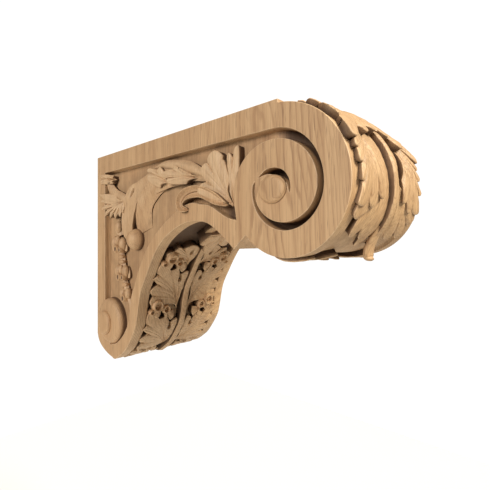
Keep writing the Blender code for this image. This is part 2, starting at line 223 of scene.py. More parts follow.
def lowerCentre():
    # centre of the lower half circles, one step further out than that of the upper ones
    return volute["out"] + volute["step"], volute["up"]


def voluteFront(split=36):
    # an ellipse over the crown, then a smaller half circle below, to the notch
    shoulder = math.degrees(math.acos((volute["shoulder"] - volute["out"]) / volute["radius"]))
    below = volute["radius"] - volute["step"]
    upper = arc((volute["out"], volute["up"]), volute["radius"], volute["crown"], shoulder, 0, split)
    lower = arc(lowerCentre(), below, below, 0, volute["notchAngle"], split)
    return np.concatenate([upper, lower[1:]])


def curveFrontLine():
    # the S-shaped member's front edge, smooth through its points
    return smoothLine(curveFront, 8)


def sunkAlong(line, depth, easeIn, easeOut):
    # the depth of the carved field: it grows from each end of the line to its full value
    run = runAlong(line)
    return np.minimum(depth, np.minimum(run * easeIn, (run[-1] - run) * easeOut))


def outerPath():
    # the whole side clockwise, with the sunk depth of the front as a third value: level along the
    # top, down round the volute, along the S-shaped front, and straight up the back
    nose, front = voluteFront(), curveFrontLine()
    ground = np.array([[0.0, block["top"], 0.0]])
    corner = np.array([[volute["shoulder"], block["top"], 0.0]])
    foot = np.array([[0.0, block["backFoot"], 0.0]])
    nose = np.column_stack([nose, sunkAlong(nose, block["voluteSunk"], *block["voluteEase"])])
    front = np.column_stack([front, sunkAlong(front, block["curveSunk"], *block["curveEase"])])
    return roundCorners(np.concatenate([ground, corner, nose, front, foot]), block["cornerRound"])


def holePath():
    # panel and spiral groove as one hole, clockwise, with the depth as a third value: straight up
    # the stile and along the top band, arcs in along the groove's outer wall and out again along
    # its inner one, round the volute's left side, and smoothly down behind the S-shaped member
    upperCentre = (volute["out"], volute["up"])
    outerTurn = volute["radius"] - volute["fillet"]
    innerTurn = volute["radius"] - 2 * volute["step"]
    inside = block["top"] - block["topBand"]
    stile = np.array([[block["backStile"], block["stileFoot"]], [block["backStile"], inside],
                      [volute["out"] - volute["panelEnd"], inside]])
    outside = np.concatenate([
        arc(upperCentre, outerTurn, inside - volute["up"], 90, 0, 26),
        arc(lowerCentre(), outerTurn - volute["step"], outerTurn - volute["step"], 0, -180, 44)[1:],
        np.array([volute["grooveRise"], volute["grooveTip"]]),
    ])
    coilCentre = (volute["coilOut"], volute["up"])
    lower = arc(coilCentre, volute["coilAcross"], volute["coilHigh"], -178, 0, 40)
    upper = arc(upperCentre, innerTurn, volute["discHigh"], 0, 90, 26)[1:]
    within = np.concatenate([np.array([volute["grooveHeel"]]), lower, upper])
    leftTurn = arc(upperCentre, innerTurn, volute["discHigh"], 90, 180, 24)[1:]
    leftEdge = np.array([volute["pocket"]])
    back = smoothLine(curveBack, 8)
    panelDeep, ramp = block["panelDeep"], volute["grooveRamp"]
    deeper = block["grooveDeep"] - panelDeep
    outsideDepth = panelDeep + deeper * np.clip(np.arange(len(outside)) / ramp, 0, 1)
    withinDepth = panelDeep + deeper * np.clip(np.arange(len(within))[::-1] / ramp, 0, 1)
    parts = [(stile, panelDeep), (outside, outsideDepth), (within, withinDepth),
             (leftTurn, panelDeep), (leftEdge, panelDeep), (back, panelDeep)]
    path = [np.column_stack([line, np.broadcast_to(depth, len(line))]) for line, depth in parts]
    return roundCorners(np.concatenate(path), block["cornerRound"])


def frontProfile():
    # columns across the block: distance from the middle, edge rounding and share of the sunk
    # depth; quarter rounds at both edges of each cheek, its wall in steps, then the flat ground
    half, cheek, edge = block["width"] / 2, block["cheek"], block["edgeRound"]
    turn = np.linspace(0.0, math.pi / 2, 5)
    outerRound = np.stack([half - edge * (1 - np.cos(turn)), 1 - np.sin(turn), 0 * turn], axis=1)
    face = np.array([[half - cheek * 0.4, 0, 0], [half - cheek * 0.7, 0, 0]])
    inner = half - cheek
    eased = block["cheekEase"] * (1 - np.cos(turn))
    innerRound = np.stack([inner + edge * (1 - np.sin(turn)), 0 * turn, eased], axis=1)
    wall = np.array([[inner - step, 0, share] for step, share in block["cheekWall"]])
    ground = np.linspace(inner - block["groundFrom"], 0, 8)
    ground = np.stack([ground, 0 * ground, np.ones(len(ground))], axis=1)
    near = np.concatenate([outerRound, face, innerRound, wall, ground])
    far = near[-2::-1] * np.array([-1.0, 1.0, 1.0])
    return np.concatenate([near, far])


def sinkHole(path, side):
    # rings of points down into a hole, and the painted light on each: a quarter round at its edge, a wall
    # that leans a little, and a small fillet at the floor
    normal = leftOf(tangents(path[:, :2], closed=True))
    edge, lean, fillet = block["edgeRound"], block["wallLean"], block["footFillet"]
    turn = np.linspace(0.0, math.pi / 2, 4)
    offsets = np.concatenate([edge * (1 - np.sin(turn)), [-lean * 0.5, -lean, -lean - fillet]])
    shallow = np.broadcast_to(edge * (1 - np.cos(turn)), (len(path), len(turn)))
    deep = path[:, 2:3]
    depths = np.concatenate([shallow, deep * 0.5, deep - fillet, deep], axis=1)
    ring = path[:, None, :2] + normal[:, None, :] * offsets[None, :, None]
    spots = place(side * (block["width"] / 2 - depths), ring[:, :, 0], ring[:, :, 1])
    return ring, spots, paintedLightAndWearOf(ring, depths, deep, len(turn))


def paintedLightAndWearOf(ring, depths, deep, rounded):
    # painted shade that grows with depth, more so on the groove's walls and in the pocket; the rounded edge
    # paler, wear with a painted highlight
    look, panelDeep, grooveDeep = blockLook, block["panelDeep"], block["grooveDeep"]
    hollow = look["wall"] * smoothStep(0.15, 0.9, depths / grooveDeep)
    groove = np.clip((deep - panelDeep) / (grooveDeep - panelDeep), 0.0, 1.0)
    hollow += look["grooveWall"] * groove * smoothStep(0.15, 0.6, depths / deep)
    away = np.sum((ring - np.array(look["pocketAt"]))**2, axis=2)
    hollow[:, rounded:] += look["pocket"] * np.exp(-away[:, rounded:] / look["pocketWide"]**2)
    # the rounded edge paler: wear with a painted highlight
    hollow[:, :rounded] += (0.0, look["edgeWearAndSheen"], look["edgeWearAndSheen"], look["footWearAndSheen"])
    return hollow


def frontPaintedLightAndWear(path, columns):
    # paler along the rounded edges, wear with a painted highlight; painted shade on the sunk ground, most
    # under the arch
    look = blockLook
    rounding = (columns[:, 1] > 0) & (columns[:, 1] < 0.6)
    out, sunk = path[:, :1], path[:, 2:3]
    arch = smoothStep(*look["archFrom"], out) * (1 - smoothStep(*look["archTo"], out)) * (sunk > 5)
    return look["edgeWearAndSheen"] * rounding + (look["ground"] + look["arch"] * arch) * columns[:, 2] * (sunk > 1)


def makeBlock(material):
    # front: the side's outline carried across the block; sides: each hole's edge carried inwards
    path, columns = outerPath(), frontProfile()
    normal = leftOf(tangents(path[:, :2], closed=True))
    lift = -block["edgeRound"] * columns[None, :, 1] - path[:, 2:3] * columns[None, :, 2]
    outUp = path[:, None, :2] + normal[:, None, :] * lift[:, :, None]
    across = np.broadcast_to(columns[None, :, 0], lift.shape)
    rows, count = len(path), len(columns)
    points = [place(across, outUp[:, :, 0], outUp[:, :, 1]).reshape(-1, 3)]
    hollow = [frontPaintedLightAndWear(path, columns).ravel()]
    smoothFaces, flatFaces = [gridFaces(rows, count, wrapRows=True)], []
    hole = holePath()
    moon = smoothLine(crescent + crescent[:1], 6)[:-1]
    moon = np.column_stack([moon, np.full(len(moon), block["grooveDeep"])])
    # the groove's floor and the panel's are two polygons that meet across the groove's mouth
    grooved = np.nonzero(hole[:, 2] > block["panelDeep"] + 0.01)[0]
    enter, leave = grooved[0] - 1, grooved[-1] + 1
    holeFloors = [np.arange(enter, leave + 1),
                  np.concatenate([np.arange(leave, len(hole)), np.arange(0, enter + 1)])]
    first = rows * count
    for side in (1, -1):
        edge = 0 if side == 1 else count - 1
        rims, rimPoints = [outUp[:, edge, :]], [np.arange(rows) * count + edge]
        for sunk, floors in ((hole, holeFloors), (moon, [np.arange(len(moon))])):
            ring, spots, depth = sinkHole(sunk, side)
            levels = ring.shape[1]
            top = first + np.arange(len(sunk)) * levels
            points.append(spots.reshape(-1, 3))
            hollow.append(depth.ravel())
            smoothFaces.append(gridFaces(len(sunk), levels, first, wrapRows=True))
            rims.append(ring[:, 0, :])
            rimPoints.append(top)
            for ones in floors:
                flatFaces.append((top + levels - 1)[ones][flatTriangles(ring[ones, -1, :])])
            first += len(sunk) * levels
        flatFaces.append(np.concatenate(rimPoints)[flatTriangles(*rims)])
    faces = [face for group in smoothFaces for face in group.tolist()]
    flatFrom = len(faces)
    faces += [face for group in flatFaces for face in group.tolist()]
    mesh = weldedMesh("corbel_block", np.concatenate(points), faces, np.concatenate(hollow), flatFrom)
    print("block", len(mesh.polygons), "faces")
    addPiece("corbel_block", mesh, material)


def makeEyes(material):
    # a low button beside the crescent of each volute, its edge a quarter of an ellipse that falls
    # into the face
    across, high, proud = volute["eyeAcross"], volute["eyeHigh"], volute["eyeProud"]
    turn = np.linspace(0.0, math.pi / 2, 7)
    radius = across - volute["eyeEase"] * (1 - np.sin(turn))
    height = proud - (proud + volute["eyeSunk"]) * (1 - np.cos(turn))
    profile = np.array([(0.0, proud), *zip(radius, height)]) + (0.0, block["panelDeep"])
    for side, name in ((-1, "volute_eye_near"), (1, "volute_eye_far")):
        carving = Carving(name)
        # painted shade round the button's lower edge
        carving.turned(sideHost(side), volute["eyeAt"], profile, high / across, turns=64, shadedBelow=(0.6, 0.94))
        carving.finish(material)


# Carving: reliefs drawn as grids of two places on the wood and a height above it. A relief's rim turns down
# by these angles, its wall draws in at its waist and ends buried in the wood. The looks are painted light:
# painted shade on the wall rings, the low places and the valleys, a paler tone on the rim rings, wear with a
# painted highlight, and a painted highlight on the ridges.
cut = {
    "rimTurns": (30, 60, 90), "rimShare": 0.45, "waist": 0.35, "buried": 1.2, "planedBy": 0.05,
    "ringShadeAndSheen": (-0.1, -0.3, 0.68, 0.95, 1.0), "lowShade": 0.6, "lowBetween": (0.1, 0.75),
    "fingerBetween": (1.0, 6.0), "turnedShade": 0.85, "valleyShade": 0.32, "valleyMost": 0.75, "ridgeMost": 0.3,
    "veinDeep": 0.25, "veinWide": 0.14,
}


def sideHost(side):
    # places out and up on the sunk panel of one side
    ground = block["width"] / 2 - block["panelDeep"]

    def at(out, up, height):
        return place(side * (ground + height), out, up)
    return at


def frontHost(line, sunk, side):
    # places across and along a carved front, heights square to it above its sunk ground
    run = runAlong(line)
    along, normal = tangents(line), leftOf(tangents(line))

    def at(across, down, height):
        inside = np.clip(down, 0.0, run[-1])
        beyond = down - inside
        spot = (readOff(line, run, inside) + readOff(along, run, inside) * beyond[:, None]
                + readOff(normal, run, inside) * (height - sunk)[:, None])
        return place(side * across, spot[:, 0], spot[:, 1])
    return at


def valleys(grid):
    # how sharply the height bends up across each row: more in a groove, less than 0 on a ridge; used as
    # painted shade in grooves and a painted highlight on ridges
    apart = np.linalg.norm(grid[:, 2:, :2] - grid[:, :-2, :2], axis=2) / 2
    bend = (grid[:, 2:, 2] + grid[:, :-2, 2] - 2 * grid[:, 1:-1, 2]) / np.maximum(apart**2, 0.12)
    bend = np.clip(bend * cut["valleyShade"], -cut["ridgeMost"], cut["valleyMost"])
    return np.pad(bend, ((0, 0), (1, 1)), mode="edge")


class Carving:
    # several reliefs gathered into one piece
    def __init__(self, name):
        self.name = name
        self.points, self.faces, self.hollow = [], [], []
        self.count = 0

    def add(self, points, groups, hollow):
        # points, groups of faces that number them from 0, and the painted light and wear on each point
        self.points.append(points)
        self.faces += [face for group in groups for face in (group + self.count).tolist()]
        self.hollow.append(hollow)
        self.count += len(points)

    def relief(self, host, grid, rim=0.9, under=0.5, topHighlight=0.0):
        # the grid, a quarter-round rim along its border, then a wall undercut down into the wood; the last
        # argument pales the whole top as a painted highlight
        rows, columns = grid.shape[:2]
        index = np.arange(rows * columns).reshape(rows, columns)
        border = np.concatenate([index[0, :], index[1:, -1], index[-1, -2::-1], index[-2:0:-1, 0]])
        flat = grid.reshape(-1, 3)
        edge = flat[border]
        chord = np.roll(edge, -1, axis=0) - np.roll(edge, 1, axis=0)
        outward = np.stack([chord[:, 1], -chord[:, 0]], axis=1)
        outward /= np.maximum(np.linalg.norm(outward, axis=1), 1e-6)[:, None]
        area = np.sum(edge[:, 0] * np.roll(edge[:, 1], -1) - edge[:, 1] * np.roll(edge[:, 0], -1))
        outward *= np.sign(area)
        radius = np.clip(np.minimum(rim, edge[:, 2] * cut["rimShare"]), 0.0, None)
        rings = []
        for turn in np.radians(cut["rimTurns"]):
            spread = outward * (radius * math.sin(turn))[:, None]
            rings.append(np.column_stack([edge[:, :2] + spread, edge[:, 2] - radius * (1 - math.cos(turn))]))
        inner = edge[:, :2] + outward * (radius - under)[:, None]
        rings.append(np.column_stack([inner, edge[:, 2] * cut["waist"]]))
        rings.append(np.column_stack([inner, np.full(len(edge), -cut["buried"])]))
        every = np.concatenate([flat] + rings)
        wallPoints = np.concatenate([border, np.arange(len(flat), len(every))])
        wall = wallPoints[gridFaces(len(rings) + 1, len(border), wrapColumns=True)]
        lowest = len(every) - len(border)
        base = lowest + flatTriangles(every[lowest:, :2])
        highest = max(float(flat[:, 2].max()), 1.0)
        # painted shade on the low places and in the valleys, a painted highlight on the ridges and on a
        # raised top; the rings paint the rim paler and shade on the wall
        low = cut["lowShade"] * (1 - smoothStep(*cut["lowBetween"], flat[:, 2] / highest))
        top = low + valleys(grid).ravel() - topHighlight
        hollow = np.concatenate([top, np.repeat(cut["ringShadeAndSheen"], len(border))])
        self.add(host(*every.T), [gridFaces(rows, columns), wall, base], hollow)

    def finger(self, host, spine, halves, thick, rows=30, turns=18):
        # ellipses along a free curve of across, down and height, closed at both ends
        line, sizes = smoothLine(spine, 12), smoothLine(np.column_stack([halves, thick]), 12)
        known, every = np.arange(len(line)), np.linspace(0, len(line) - 1, rows)
        centre, size = readOff(line, known, every), readOff(sizes, known, every)
        ahead = np.gradient(centre, axis=0)
        ahead /= np.linalg.norm(ahead, axis=1)[:, None]
        wide = np.array([1.0, 0.0, 0.0]) - ahead * ahead[:, :1]
        wide /= np.linalg.norm(wide, axis=1)[:, None]
        proud = np.cross(wide, ahead)
        turn = 2 * math.pi * np.arange(turns) / turns
        rings = (centre[:, None, :] + wide[:, None, :] * size[:, None, :1] * np.cos(turn)[None, :, None]
                 + proud[:, None, :] * size[:, None, 1:] * np.sin(turn)[None, :, None])
        first, last = (np.broadcast_to(end, (1, turns, 3)) for end in (centre[0], centre[-1]))
        rings = np.concatenate([first, rings, last]).reshape(-1, 3)
        # painted shade on the parts low by the wood
        hollow = cut["lowShade"] * (1 - smoothStep(*cut["fingerBetween"], rings[:, 2]))
        self.add(host(*rings.T), [gridFaces(rows + 2, turns, wrapColumns=True)], hollow)

    def turned(self, host, centre, profile, squash=1.0, turns=32, shadedBelow=(0.0, 0.7)):
        # a profile of radius and height spun round a place, squashed along the second axis; it carries
        # painted shade up to the first share of its height in the last argument, and none from the second
        profile = np.array([*profile, (0.0, profile[-1][1])], float)
        turn = 2 * math.pi * np.arange(turns) / turns
        radius = profile[:, :1]
        across = centre[0] + radius * np.cos(turn)
        down = centre[1] + radius * np.sin(turn) * squash
        height = profile[:, 1:] * np.ones(turns)
        points = host(across.ravel(), down.ravel(), height.ravel())
        hollow = cut["turnedShade"] * (1 - smoothStep(*shadedBelow, height / profile[:, 1].max()))
        self.add(points, [gridFaces(len(profile), turns, wrapColumns=True)], hollow.ravel())

    def finish(self, material):
        # what would stand past the solid's box is planed off just inside it
        least, most = (np.array(list(corner)) for corner in cadBox)
        inside = cut["planedBy"] * mm
        points = np.clip(np.concatenate(self.points), least + inside, most - inside)
        mesh = weldedMesh(self.name, points, self.faces, np.concatenate(self.hollow), near=0.003)
        print(self.name, len(mesh.polygons), "faces")
        addPiece(self.name, mesh, material)


def handCut(grid, amount):
    # the tool's slight unevenness: three sine waves across the places
    u, v = grid[:, :, 0], grid[:, :, 1]
    grid[:, :, 2] += amount * (np.sin(u * 0.9 + v * 0.35) + np.sin(v * 0.7 - u * 0.4 + 1.3)
                               + 0.6 * np.sin(u * 1.9 - v * 1.3 + 0.4))
    return grid


def fan(root, stem, outline, high, low=0.35, flute=1.3, fall=0.0, point=0.12, pull=0.45, lift=0.0,
        swell=0.6, cutFrom=0.82, split=10, rows=34, pits=()):
    # rays leave the root along the stem and bend out to the outline, which runs dip, tip, dip ...:
    # tips go from round at point 0 to sharp at 1, and dips are sharp; height = a rise from low's
    # share at the root, plus lift at the tips, less fall from the first ray to the last, plus
    # swell along each lobe, less flute down to each dip from cutFrom on, less a fine vein
    root, stem = np.array(root, float), np.array(stem, float)
    stem /= np.linalg.norm(stem)
    marks = np.array(outline, float)
    c = np.arange(split) / split
    ends, phase = [], []
    for k in range(1, len(marks), 2):
        tip = marks[k]
        ahead = (tip - root) / max(np.linalg.norm(tip - root), 1e-6)
        for dip, inward in ((marks[k - 1], True), (marks[k + 1], False)):
            along = np.dot(dip - tip, ahead) * ahead
            across = dip - tip - along
            x = 1 - c if inward else c
            sideways = (1 - point) * np.sin(math.pi / 2 * x)**0.8 + point * x
            backward = (1 - point) * (1 - np.cos(math.pi / 2 * x)) + point * x
            ends.append(tip + sideways[:, None] * across + backward[:, None] * along)
            phase.append(-x if inward else x)
    ends.append(marks[-1:])
    phase.append([1.0])
    ends, phase = np.concatenate(ends), np.concatenate(phase)
    t = np.linspace(0.05, 1.0, rows)[:, None]
    reach = np.linalg.norm(ends - root, axis=1)
    control = root + stem * (reach * pull)[:, None]
    spots = ((1 - t)[:, :, None]**2 * root + 2 * (t * (1 - t))[:, :, None] * control
             + (t**2)[:, :, None] * ends)
    edge = np.abs(phase)[None, :]
    height = high * (low + (1 - low) * smoothStep(0.0, 0.7, t)) + lift * t**3
    height = height - fall * np.linspace(0.0, 1.0, len(phase))[None, :]
    height = height + swell * smoothStep(0.4, 0.9, t) * (1 - edge**2)**2
    height = height - flute * smoothStep(cutFrom, 1.0, t) * edge**3
    height = height - cut["veinDeep"] * smoothStep(0.35, 0.6, t) * np.exp(-(edge / cut["veinWide"])**2)
    grid = handCut(np.concatenate([spots, height[:, :, None]], axis=2), 0.07)
    return pitted(grid, pits)


def pitted(grid, pits):
    # drop-shaped eyes, each as its place, long and short radius, direction and depth: full depth
    # inside an ellipse that widens ahead, and a soft edge round it
    for (out, up), longer, shorter, direction, depth in pits:
        du, dv = grid[:, :, 0] - out, grid[:, :, 1] - up
        cosine, sine = math.cos(math.radians(direction)), math.sin(math.radians(direction))
        ahead, aside = du * cosine + dv * sine, dv * cosine - du * sine
        far = np.hypot(ahead / longer, aside / (shorter * (1.0 + 0.45 * np.clip(ahead / longer, -1, 1))))
        grid[:, :, 2] -= depth * (1 - smoothStep(0.65, 1.1, far))
    return grid


def band(spine, left, right, heights, crown=0.3, vein=0.0, rows=100, across=26, lean=0.0,
         teeth=0, bite=0.0):
    # a leaf along a spine: half widths each side and heights at even shares of its length, with
    # teeth bitten into both edges by a share; height across = crown's arch, less a vein down the
    # middle, plus a lean to one side
    line = smoothLine(spine, 16)
    run = runAlong(line)
    t = np.linspace(0.0, 1.0, rows)
    line = readOff(line, run, t * run[-1])

    def shares(values):
        even = smoothLine([[v] for v in values], 12)[:, 0]
        return np.interp(t, np.linspace(0.0, 1.0, len(even)), even)
    c = np.linspace(-1.0, 1.0, across)
    wide = np.where(c[None, :] > 0, shares(left)[:, None], shares(right)[:, None])
    if teeth:
        wide = wide * (1 - bite * np.abs(np.cos(math.pi * teeth * t))[:, None]**3)
    spots = line[:, None, :] + leftOf(tangents(line))[:, None, :] * (wide * c)[:, :, None]
    high = shares(heights)[:, None]
    height = high * (1 - crown * np.abs(c)**2.2) + high * lean * c
    height = height - vein * np.exp(-(c / 0.16)**2)
    return handCut(np.concatenate([spots, height[:, :, None]], axis=2), 0.08)


def ballProfile(radius, centreHeight, rows=14):
    # radius times the sine and the cosine, from the ball's pole down to where it is buried
    turn = np.linspace(0.0, math.radians(125), rows)
    return np.stack([radius * np.sin(turn), centreHeight + radius * np.cos(turn)], axis=1)


# The drop of leaves in the side panel, in out and up. Fans: root, stem, outline, height and how
# pointed the tips are. Bands: spine, half widths (left and right, where they differ), heights,
# crown, vein and lean.
sideFans = {
    "upright": ((240, 31), (-0.5, 0.9), [(226, 35), (199, 47), (210, 54), (204.5, 68), (211.5, 71),
        (218, 79.5), (229, 75), (233, 70), (237, 54)], 9.2, 0.2),
    "finger": ((241, 30), (0, 1), [(236.5, 50), (236.8, 76), (241, 69), (248, 80.5), (246.5, 50)],
        7.4, 0.2),
    "foldRight": ((197, 61), (-1, 0.1), [(180, 57), (153, 61), (154, 65), (145, 69), (160, 72.5),
        (166, 75), (186, 65)], 10, 0.35),
    "foldLeft": ((152, 60), (-0.8, 0.5), [(136, 58), (118, 69), (124, 73), (117, 77), (131, 75.5),
        (140, 77), (148, 68)], 9.6, 0.35),
    "spiky": ((67, 51), (-0.8, -0.3), [(42, 58), (6, 61), (25, 55), (10.5, 52.5), (27, 49), (12.5, 42.5),
        (28, 43), (22, 34.5), (35, 40), (34, 31.5), (43, 38.5), (46.5, 30), (52, 38), (57.5, 31.5),
        (60, 40), (64.5, 36), (66, 46)], 8.4, 0.6),
    "curl": ((41, 77), (-1, 0.1), [(37, 73), (12, 76), (20, 80), (11, 84), (39, 81)], 9.4, 0.2),
    "huskHigh": ((47, 11), (0, -1), [(38, 6), (31.5, -6.5), (39.5, -4), (47, -9), (54, -4),
        (64, -8.5), (58, 6)], 3.6, 0.3),
    "huskMiddle": ((56, -25), (0.05, -1), [(49, -29), (45, -40.5), (51.5, -38), (57.5, -43.5),
        (63.5, -38), (70, -39.5), (66, -28)], 3.4, 0.3),
    "huskLow": ((64, -51), (0.15, -1), [(57, -55), (57.5, -64), (63, -61), (67, -66.5), (71, -61),
        (77, -63), (74, -53)], 3.4, 0.3),
}
sideBands = {
    "arch": ([(204, 61), (184, 68), (165, 69.5), (146, 70), (130, 67), (116, 60), (108, 55)],
        [4, 7.5, 10.5, 12.5, 13.5, 11, 6], [5.5, 5.8, 5.8, 5.6, 5.4, 5, 4], 0.1, 0, -0.1),
    "archTop": ([(207, 61), (190, 69), (170, 74.7), (150, 78.6), (135, 80), (120, 77.8)],
        [2, 4.5, 4.8, 4.4, 2.8, 0.8], [7, 8.6, 8.8, 8.4, 7.4, 5.5], 0.3, 0, 0),
    "hangRight": ([(142, 66), (124, 60), (109, 50), (102, 40), (99, 30), (99, 20), (100.5, 14)],
        ([8.5, 9, 10, 10.5, 11.5, 13.5, 13], [5, 6, 6.8, 8.6, 10.6, 13.8, 13]),
        [5, 5.4, 5.4, 5.2, 4.6, 2.6, 1.2], 0.05, 0, -0.55),
    "hangLeft": ([(122, 69), (110, 65), (98, 60.5), (85, 53), (77, 42), (72.6, 29), (71, 16), (73, 4)],
        ([7, 7, 7.4, 10.6, 11.8, 11, 9.8, 6.5], [7, 7.4, 8.2, 11.8, 13.2, 12.4, 11.2, 7]),
        [5.6, 6.2, 6.8, 7.2, 7, 6.8, 6.2, 4], -0.14, 0, 0),
    "stemUp": ([(64, 51), (46, 55.5), (34, 62), (27.5, 70), (25.5, 78)],
        [4, 6.5, 6.5, 6, 4.5], [6.5, 6.8, 6.6, 7, 7.5], 0.35, 0, 0),
    "hook": ([(236, 33), (218, 41), (203, 46.5), (190, 47.5), (180, 45), (174.4, 39), (176.5, 33.3),
        (184, 31.2)], [1.2, 4, 4.6, 4.4, 4.6, 4.2, 3, 1.2],
        [8, 8.4, 8, 7.6, 7.8, 8.4, 8.8, 8.6], -0.4, 1.2, -0.12),
    "budHigh": ([(45, 28), (46, 19), (51, 9)], [1.5, 7, 4], [4, 7, 6], 0.4, 0, 0),
    "neckHigh": ([(49, -6), (53.5, -17), (56, -27)], [4.6, 3.8, 4.4], [6.5, 5.2, 6.2], 0.45, 0, 0),
    "neckLow": ([(58, -40), (61, -47), (64, -54)], [4, 3.4, 4], [6.2, 5.2, 6.2], 0.45, 0, 0),
    "tail": ([(68, -60), (75, -71), (76.5, -82), (73, -90), (66.5, -97)],
        [2.6, 3.2, 3, 2.4, 0.8], [6, 6.2, 6, 5.6, 4], 0.4, 0, 0),
}
# Cups: radius as a share of the widest, and height. Eases: in from the rim and down from the top.
# Feet: out from the rim, and height. Petals: place, radius and squash. Mouths: place and radius; each is a
# raised ring whose floor is painted shade, for an opening.
drop = {
    # the bands' and fans' values on this line: how much paler their tops are, a painted highlight
    "ballAt": (84.5, 4.2), "ballRadius": 12.3, "ballUp": 1.6, "bandsTopHighlight": 0.15, "fansTopHighlight": 0.28,
    "ringsAt": [(53, -16), (55, -22), (61.6, -48.5)], "ringRadius": 5.2, "ringSquash": 0.45,
    "ringCup": [(0, 6.8), (0.7, 6.6), (1, 5.8), (1.05, 4.8), (1, -1)],
    "petals": [((50, 19), 4.8, 1.6), ((40.2, 0), 5.4, 1.6), ((57.8, -1.5), 5.6, 1.55), ((49, 3), 3.8, 1.7),
        ((49, -33), 5.2, 1.5), ((64.2, -33), 5, 1.5), ((57, -31), 3.2, 1.8),
        ((60.2, -58.5), 4.6, 1.4), ((71.2, -58), 4.6, 1.4)], "petalTop": 9.6,
    "mouths": [((48.6, -7), 3.1), ((58, -8), 2.5), ((55, -39.8), 3.1), ((64, -40), 2.4),
        ((65.6, -63.8), 3.1)],
    "mouthCup": [(0, 9), (0.8, 9.2), (1, 10.4), (1.15, 10.8), (1.35, 10.2), (1.35, -1)],
    "eyeSlits": [((81.5, 56.8), 6.8, 2.4, 46, 6.2)],
}
smallScroll = {
    "at": (30.5, -95), "radius": 28, "up": 10.2,
    "ease": [(9, 0), (5, 0.5), (2.4, 1.6), (0.7, 3.4), (0, 5.4)], "foot": [(0, 2.2), (0.5, 0.2), (0.5, -1)],
    "bossAt": (25, -97.5), "bossRadius": 14.5, "bossUp": 14.3,
    "bossEase": [(5.8, 0.1), (2.2, 0.5), (0.8, 1.4), (0, 3)], "bossFoot": [(0, 9.2)],
}


def sized(shares, radius, stretch=1.0):
    # a turned profile as wide as the radius, its heights stretched
    return np.array(shares) * (radius, stretch)


def makeSideLeaves(side, material, name):
    # bands, fans and turned forms on the sunk panel, overlapping in their order
    host = sideHost(side)
    carving = Carving(name)
    # the tops of bands and fans are paler, a painted highlight
    for spine, halves, heights, crown, vein, lean in sideBands.values():
        left, right = halves if isinstance(halves, tuple) else (halves, halves)
        grid = band(spine, left, right, heights, crown, vein, lean=lean)
        carving.relief(host, pitted(grid, drop["eyeSlits"]), topHighlight=drop["bandsTopHighlight"])
    for root, stem, outline, high, point in sideFans.values():
        grid = fan(root, stem, outline, high, low=0.5, flute=2.2, point=point, cutFrom=0.68)
        carving.relief(host, grid, topHighlight=drop["fansTopHighlight"])
    carving.turned(host, drop["ballAt"], ballProfile(drop["ballRadius"], drop["ballUp"]))
    for at, radius, squash in drop["petals"]:
        petal = ballProfile(radius, drop["petalTop"] - radius)
        # painted shade on each petal's lower part
        carving.turned(host, at, petal, squash, turns=24, shadedBelow=(0.2, 0.9))
    for at, radius in drop["mouths"]:
        # the cup's floor painted as the shade of an opening
        carving.turned(host, at, sized(drop["mouthCup"], radius), turns=20, shadedBelow=(0.86, 0.97))
    for at in drop["ringsAt"]:
        carving.turned(host, at, sized(drop["ringCup"], drop["ringRadius"]), drop["ringSquash"])
    carving.finish(material)


def easedDisc(radius, up, ease, foot):
    # a flat top, an edge that falls by steps in from the rim and down from the top, and a foot
    edge = [(radius - inward, up - fall) for inward, fall in ease]
    return [(0, up), *edge, *((radius + outward, height) for outward, height in foot)]


def makeSmallScroll(side, material, name):
    # a flat disc with a broad bevel and a rounder boss, each spun round its own middle
    host, form = sideHost(side), smallScroll
    carving = Carving(name)
    disc = easedDisc(form["radius"], form["up"], form["ease"], form["foot"])
    # painted shade on the disc's lower parts
    carving.turned(host, form["at"], disc, turns=72, shadedBelow=(0.3, 0.8))
    boss = easedDisc(form["bossRadius"], form["bossUp"], form["bossEase"], form["bossFoot"])
    carving.turned(host, form["bossAt"], boss, turns=56)
    carving.finish(material)


# The nose and the S-shaped front: across from the middle and down along the line. Nose fans: root,
# stem, outline, height, its share at the root, fall, lift and flute. The body, soffit and ribs: spine,
# half widths and heights. Knots: across, down, radius and squash. Lobes: root, stem and outline.
# Spread leaf: root, stem, outline, height and pits. The tongue's spine has its own heights.
noseFans = {
    "belly": ((6, 214), (0.5, -1), [(60, 196), (50, 163), (38, 200), (26, 158), (16, 200),
        (9, 176), (3, 192)], 2.6, 0.6, 0, 3.2, 6.5),
    "lowest": ((12, 84), (0.25, 1), [(44, 103), (54.5, 118.5), (42, 119), (42.5, 135), (30, 124.5),
        (24.5, 137), (13, 126)], 5, 0.5, 0.8, 0.6, 1.5),
    "outer": ((34, 48), (0.05, 1), [(46, 58), (58, 74), (54, 74), (56.4, 84), (51.5, 83), (56, 96),
        (51.5, 95), (57, 111), (40.5, 105), (35.5, 112), (28, 98), (20, 105), (21.5, 88)],
        7, 0.6, 1, 0.4, 1.5),
    "cap": ((8, 0), (0.45, 1), [(30, 3), (49, 8.5), (45, 13.5), (55, 24.5), (50, 27.5), (60.5, 45),
        (55.5, 50), (60.5, 68), (42, 56.5), (34, 59), (21, 49), (11, 52.5), (2, 42)],
        6.8, 0.5, -4, 0, 1.5),
}
noseBody = ([(14, 46), (14, 64), (10.5, 84), (9.5, 105), (12, 124), (13, 138), (10, 148)],
        [13, 12, 7.5, 7, 8.5, 7, 1.5], [4.2, 3.8, 3.6, 3.6, 3.8, 3.8, 3.2])
